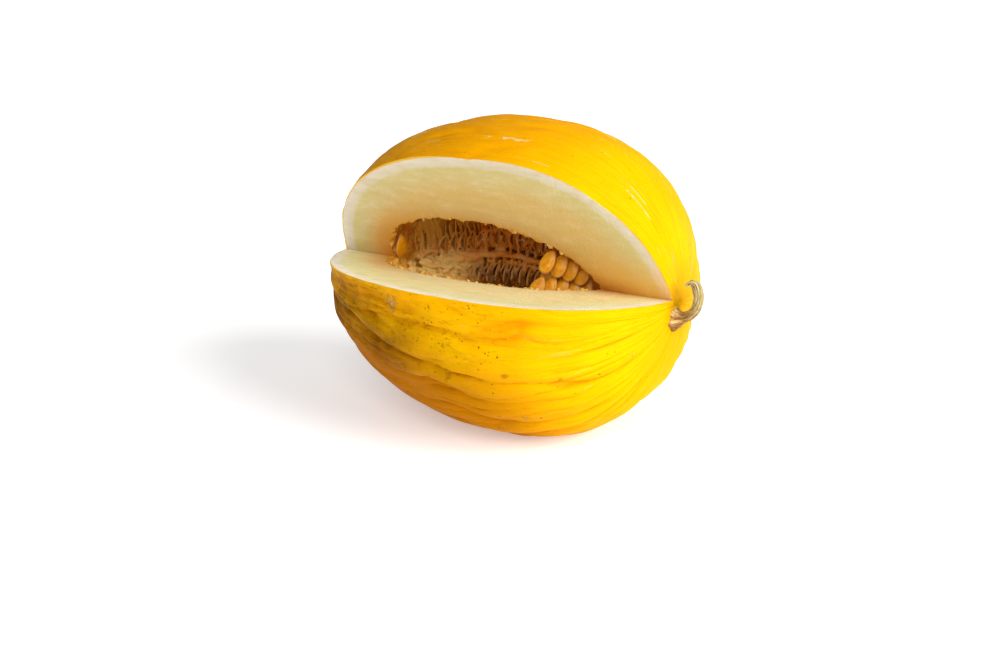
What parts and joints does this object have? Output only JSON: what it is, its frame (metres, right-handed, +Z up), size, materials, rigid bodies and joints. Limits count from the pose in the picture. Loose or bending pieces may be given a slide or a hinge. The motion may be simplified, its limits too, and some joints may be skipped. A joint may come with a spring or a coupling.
{
  "type": "canary melon with a wedge cut out",
  "caption": "Oval yellow canary melon on its side, a wedge cut out of its front, with stem, seed hollow, placenta and seeds.",
  "frame": {"origin": "middle of the bottom of the bounding box, on the surface that the melon rests on", "axes": "+X along the melon's own axis towards the stem, +Y towards the uncut back, +Z up; the wedge is cut out of the -Y front"},
  "size_m": [0.2032, 0.1572, 0.1556],
  "materials": {
    "fruit": "waxy yellow rind over pale, moist flesh",
    "stem": "dry, ridged, greyish tan",
    "placenta": "moist, fibrous, tan to cream",
    "seed": "wet golden hull with a paler rim"
  },
  "bodies": {
    "root": {"fruit": "fruit", "stem": "stem", "placenta": "placenta", "seed_upper_01": "seed", "seed_upper_02": "seed", "seed_upper_03": "seed", "seed_upper_04": "seed", "seed_upper_05": "seed", "seed_upper_06": "seed", "seed_upper_07": "seed", "seed_upper_08": "seed", "seed_upper_09": "seed", "seed_upper_10": "seed", "seed_upper_11": "seed", "seed_upper_12": "seed", "seed_upper_13": "seed", "seed_upper_14": "seed", "seed_lower_01": "seed", "seed_lower_02": "seed", "seed_lower_03": "seed", "seed_lower_04": "seed", "seed_lower_05": "seed", "seed_lower_06": "seed", "seed_lower_07": "seed", "seed_lower_08": "seed", "seed_lower_09": "seed", "seed_lower_10": "seed", "seed_lower_11": "seed", "seed_lower_12": "seed", "seed_front_1": "seed", "seed_front_2": "seed", "seed_front_3": "seed", "seed_front_4": "seed", "seed_middle_1": "seed", "seed_middle_2": "seed", "seed_middle_3": "seed", "seed_bottom_1": "seed", "seed_bottom_2": "seed", "seed_bottom_3": "seed", "seed_bottom_4": "seed", "seed_bottom_5": "seed", "seed_left": "seed"}
  },
  "joints": []
}
